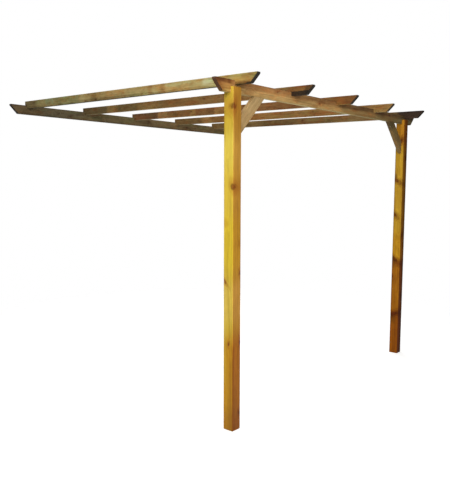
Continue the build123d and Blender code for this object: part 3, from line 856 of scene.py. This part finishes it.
RAFTERS = {
    # Rafter 1's darker underside tones are painted shade.
    1: dict(tones=tones((168, 152, 100)), faces=[(DOWN, tones((104, 94, 58)))], zones=[
        # Painted shade, darker towards the wall end: this zone and the next two.
        zone((0.47, 0.44, 0.45), 1.0, u=(-0.20, 1.0, 0.05)),
        zone((0.78, 0.77, 0.75), 0.9, u=(-0.60, -0.17, 0.04)),
        zone((0.66, 0.76, 0.74), 1.0, u=(-0.86, -0.50, 0.05)),
        zone((0.88, 1.12, 1.34), 0.9, u=(-0.475, -0.345, 0.010), v=(-0.020, 1.0, 0.012)),
        zone((0.68, 0.72, 0.70), 0.9, u=(-1.105, -1.03, 0.022)),
        zone((0.80, 0.70, 0.60), 0.9, u=(-1.80, -1.755, 0.016)),
        zone((0.76, 0.66, 0.56), 0.9, u=(-1.945, -1.89, 0.018)),
        zone((0.84, 0.80, 0.74), 0.85, u=(-1.26, -1.02, 0.05), v=(-1.0, 0.012, 0.014)),
        zone((0.92, 0.84, 0.78), 0.9, u=(-1.72, -0.92, 0.06)),
        zone((0.72, 0.74, 0.76), 0.9, u=(-1.62, -0.88, 0.06), v=(-1.0, -0.014, 0.012)),
        zone((0.90, 0.94, 0.90), 0.9, u=(-2.33, -1.97, 0.03)),
        zone((1.06, 1.26, 1.66), 0.85, u=(-2.425, -2.325, 0.02), v=(-0.012, 1.0, 0.014)),
        zone((0.84, 0.64, 0.46), 0.95, u=(-2.575, -2.49, 0.025), v=(0.0, 1.0, 0.02)),
        zone((0.73, 0.68, 0.48), 1.0, u=(-3.0, -2.60, 0.04)),
        zone((1.30, 1.50, 1.56), 0.8, u=(-2.69, -2.59, 0.03), v=(-0.014, 1.0, 0.010)),
        # Painted shade under the overhang: its lower part darker, near black along the lower edge at the tip (this zone
        # and the next).
        zone((0.62, 0.54, 0.46), 0.9, u=(-3.0, -2.60, 0.02), v=(-1.0, -0.022, 0.008)),
        zone((0.16, 0.17, 0.19), 0.95, u=(-3.0, -2.722, 0.010), v=(-1.0, -0.026, 0.004)),
        # Painted shade: the downward-facing raked tip, dark end grain made near black.
        zone((0.20, 0.21, 0.23), 0.9, rake=(-4.0, -2.786, 0.004)),
        zone((0.80, 0.82, 0.82), 0.9, v=(-1.0, -0.026, 0.008))]),
    2: dict(tones=tones((125, 99, 57)), zones=[
        # Painted shade: darker towards the wall end.
        zone((0.62, 0.70, 0.82), 1.0, u=(-0.40, 1.0, 0.02)),
        zone((1.20, 1.30, 1.34), 0.9, u=(-0.53, -0.40, 0.012)),
        # Painted shade: darker towards the wall end.
        zone((0.74, 0.82, 0.88), 0.9, u=(-0.86, -0.56, 0.03)),
        zone((1.18, 1.12, 1.06), 0.8, u=(-1.13, -1.02, 0.02)),
        zone((1.26, 1.36, 1.36), 0.8, u=(-1.66, -1.60, 0.016), v=(-0.004, 1.0, 0.012)),
        zone((1.03, 0.90, 0.82), 0.9, u=(-3.0, -1.22, 0.04)),
        zone((0.80, 0.66, 0.48), 1.0, u=(-3.0, -2.60, 0.04)),
        zone((1.12, 0.70, 0.50), 0.9, u=(-2.785, -2.66, 0.02), v=(0.020, 1.0, 0.006)),
        zone((0.42, 0.44, 0.46), 0.9, u=(-3.0, -2.752, 0.016)),
        zone((0.14, 0.16, 0.22), 1.0, u=(-3.0, -2.60, 0.006), v=(-1.0, -0.0035, 0.003)),
        # Painted shade: the downward-facing raked tip, dark end grain made near black.
        zone((0.20, 0.21, 0.23), 0.9, rake=(-4.0, -2.785, 0.004))]),
    3: dict(tones=tones((132, 93, 52)), zones=[
        # Painted shade: darker towards the wall end.
        zone((0.74, 0.80, 1.00), 1.0, u=(-0.42, 1.0, 0.012)),
        zone((1.40, 1.62, 1.76), 0.9, u=(-0.57, -0.42, 0.014)),
        zone((1.44, 1.66, 1.58), 0.8, u=(-0.985, -0.905, 0.016)),
        zone((0.82, 0.84, 0.78), 0.9, u=(-1.24, -1.12, 0.02)),
        zone((1.46, 1.54, 1.48), 0.8, u=(-1.38, -1.25, 0.02)),
        zone((0.86, 0.84, 0.78), 0.9, u=(-2.5, -2.0, 0.10)),
        zone((0.88, 0.73, 0.44), 1.0, u=(-3.0, -2.56, 0.03)),
        zone((0.74, 0.72, 0.62), 0.9, u=(-3.0, -2.69, 0.03)),
        # Painted shade: the downward-facing raked tip, dark end grain made near black.
        zone((0.26, 0.27, 0.29), 0.9, rake=(-4.0, -2.786, 0.004))]),
    4: dict(tones=tones((141, 104, 57)), zones=[
        # Painted shade: darker towards the wall end.
        zone((0.70, 0.80, 0.90), 1.0, u=(-0.45, 1.0, 0.02)),
        zone((1.20, 1.26, 1.34), 0.9, u=(-0.60, -0.49, 0.012)),
        # Painted shade: darker towards the wall end.
        zone((0.88, 0.82, 0.78), 0.9, u=(-1.0, -0.62, 0.03)),
        zone((0.97, 0.96, 0.90), 0.9, u=(-1.62, -1.10, 0.08)),
        zone((1.10, 1.10, 1.06), 0.9, u=(-2.2, -1.1, 0.2)),
        zone((1.09, 1.18, 1.09), 1.0, u=(-3.0, -2.60, 0.03)),
        # Painted shade: the downward-facing raked tip, dark end grain made near black.
        zone((0.26, 0.27, 0.29), 0.9, rake=(-4.0, -2.786, 0.004))]),
    5: dict(tones=tones((124, 99, 58)), zones=[
        zone((0.70, 0.66, 0.62), 0.9, u=(-1.30, -0.80, 0.08)),
        zone((1.50, 1.58, 1.62), 0.8, u=(-1.00, -0.95, 0.012), v=(-0.012, 0.02, 0.010)),
        zone((1.26, 1.32, 1.36), 0.8, u=(-1.74, -1.70, 0.012), v=(-0.020, 0.012, 0.010)),
        zone((0.91, 0.90, 0.87), 0.9, u=(-2.5, -1.40, 0.06)),
        zone((1.16, 1.14, 1.18), 0.9, u=(-2.3, -1.84, 0.10)),
        # Painted shade: the whole overhang near black, its upper part darker still in the next zone.
        zone((0.20, 0.155, 0.22), 1.0, u=(-3.0, -2.54, 0.04)),
        zone((0.62, 0.66, 0.68), 0.8, u=(-3.0, -2.56, 0.02), v=(0.018, 1.0, 0.006))]),
}
for i, look in RAFTERS.items():
    # Paler tones on the rafter undersides are painted light from below; rafter 1 sets its own darker ones.
    look.setdefault("faces", [(DOWN, tones((178, 152, 104)))])
    LOOKS[f"rafter_{i}"] = dict(
        seed=7.0 + 1.37 * i, axis=Y, pith=(0.03 * (-1) ** i, 0.070 + 0.006 * i, 0.004, -0.003), ring=0.0042, late=0.24, streak=0.50, fibre=0.40, fine=0.30, blotch=0.75, mottle=0.95, broad_u=2.6,
        end=END_DARK, rear=END_BROWN, sawn=True, halo_amount=0.5,
        patches=[
            (GREENISH, 5.0, 18.0, 0.50, 0.66, 0.7), (RUSTY, 4.2, 18.0, 0.50, 0.64, 0.9),
            ((1.02, 0.86, 0.74), 15.0, 34.0, 0.50, 0.62, 0.9), ((0.78, 0.72, 0.68), 19.0, 40.0, 0.54, 0.66, 0.9)], **look,
    )

for name, t in timbers.items():
    piece = bpy.data.objects.new("timber_" + name, t.mesh)
    scene.collection.objects.link(piece)
    t.mesh.materials.clear()
    t.mesh.materials.append(timber_material("wood_" + name, LOOKS[name], t.knots))
    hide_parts(name)
    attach(piece, "root")

# ---------------------------------------------------------------- screws
head_v, head_f = screw_head()
zinc = screw_material()
for label, names in (
    ("rafter_screws", [f"rafter_{i}" for i in range(1, 6)]),
    ("brace_screws", ["brace_left", "brace_right"]),
    ("post_screws", ["post_left", "post_right"]),
    ("wall_screws", ["wall_beam"]),
):
    parts = [(set_on(head_v, at, n, spin), head_f) for k in names for at, n, spin in timbers[k].screws]
    me = to_mesh(label, *joined(parts))
    me.polygons.foreach_set("use_smooth", np.ones(len(me.polygons), bool))
    me.set_sharp_from_angle(angle=math.radians(30))
    me.materials.append(zinc)
    o = bpy.data.objects.new(label, me)
    scene.collection.objects.link(o)
    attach(o, "root")

# ---------------------------------------------------------------- floor, light, camera
bm = bmesh.new()
bmesh.ops.create_circle(bm, cap_ends=True, radius=14.0, segments=96)
floor_mesh = bpy.data.meshes.new("floor")
bm.to_mesh(floor_mesh)
bm.free()
floor = bpy.data.objects.new("floor", floor_mesh)
floor.location = (0, -1.3, GROUND - 0.0005)
scene.collection.objects.link(floor)
g = Nodes("pale_floor")
p = g.new("ShaderNodeTexCoord").outputs["Object"]
speck = g.noise(g.vec("MULTIPLY", p, (6, 6, 6)), 3.0, 0.5)
b = g.new("ShaderNodeBsdfPrincipled")
g.put(b.inputs["Base Color"], g.ramp(speck, [(0.3, (0.74, 0.74, 0.73)), (0.7, (0.78, 0.78, 0.77))]))
b.inputs["Emission Color"].default_value = (1, 1, 1, 1)
direct = g.new("ShaderNodeLightPath").outputs["Is Camera Ray"]
g.put(b.inputs["Emission Strength"], g.mul(direct, 0.58))
b.inputs["Roughness"].default_value = 0.9
b.inputs["Specular IOR Level"].default_value = 0.1
clear = g.new("ShaderNodeBsdfTransparent")
fade = g.new("ShaderNodeMixShader")
away = g.vec("LENGTH", p)
g.put(fade.inputs[0], g.math("MAXIMUM", g.step(away, 4.0, 9.0), g.mul(direct, g.step(away, 2.2, 4.2))))
g.t.links.new(b.outputs[0], fade.inputs[1])
g.t.links.new(clear.outputs[0], fade.inputs[2])
floor_mesh.materials.append(g.finish(fade.outputs[0]))

world = bpy.data.worlds.new("studio")
scene.world = world
world.use_nodes = True
wt = world.node_tree
wt.nodes.clear()
seen = wt.nodes.new("ShaderNodeBackground")
seen.inputs[0].default_value = (1, 1, 1, 1)
seen.inputs[1].default_value = 1.0
soft = wt.nodes.new("ShaderNodeBackground")
soft.inputs[0].default_value = (1.0, 0.99, 0.97, 1)
soft.inputs[1].default_value = 0.14
lp = wt.nodes.new("ShaderNodeLightPath")
both = wt.nodes.new("ShaderNodeMixShader")
wo = wt.nodes.new("ShaderNodeOutputWorld")
wt.links.new(lp.outputs["Is Camera Ray"], both.inputs[0])
wt.links.new(soft.outputs[0], both.inputs[1])
wt.links.new(seen.outputs[0], both.inputs[2])
wt.links.new(both.outputs[0], wo.inputs[0])


def softbox(name, at, aim, size, watts, colour=(1, 1, 1)):
    data = bpy.data.lights.new(name, "AREA")
    data.shape = "DISK"
    data.size = size
    data.energy = watts
    data.color = colour
    o = bpy.data.objects.new(name, data)
    o.location = at
    o.visible_camera = False
    o.rotation_mode = "QUATERNION"
    o.rotation_quaternion = (Vector(aim) - Vector(at)).to_track_quat("-Z", "Y")
    scene.collection.objects.link(o)
    return o


softbox("key", (-5.4, -3.9, 1.5), (-0.9, -2.2, -0.8), 3.0, 150, (1.0, 0.985, 0.96))
softbox("fill", (5.2, 2.4, 1.9), (0.2, -1.4, -0.9), 3.6, 190, (0.98, 0.99, 1.0))
softbox("front", (-3.1, -5.7, 0.7), (-0.8, -2.6, -0.6), 2.6, 70, (1.0, 0.985, 0.96))
softbox("top", (0.2, -1.3, 5.2), (0.2, -1.3, 0.0), 5.0, 170)

cam_data = bpy.data.cameras.new("camera")
cam = bpy.data.objects.new("camera", cam_data)
scene.collection.objects.link(cam)
scene.camera = cam
yaw, pitch, roll = 0.8575, 0.1070, 0.0021
fwd = Vector((math.sin(yaw) * math.cos(pitch), math.cos(yaw) * math.cos(pitch), -math.sin(pitch)))
right = Vector((math.cos(yaw), -math.sin(yaw), 0.0))
up = right.cross(fwd)
r2 = math.cos(roll) * right + math.sin(roll) * up
u2 = -math.sin(roll) * right + math.cos(roll) * up
rot = Matrix((r2, u2, -fwd)).transposed()
cam.matrix_world = Matrix.Translation((-4.5151, -5.2776, -0.7169)) @ rot.to_4x4()
cam_data.sensor_width = 36.0
cam_data.lens = 597.38 * 36.0 / 500.0
cam_data.clip_end = 200
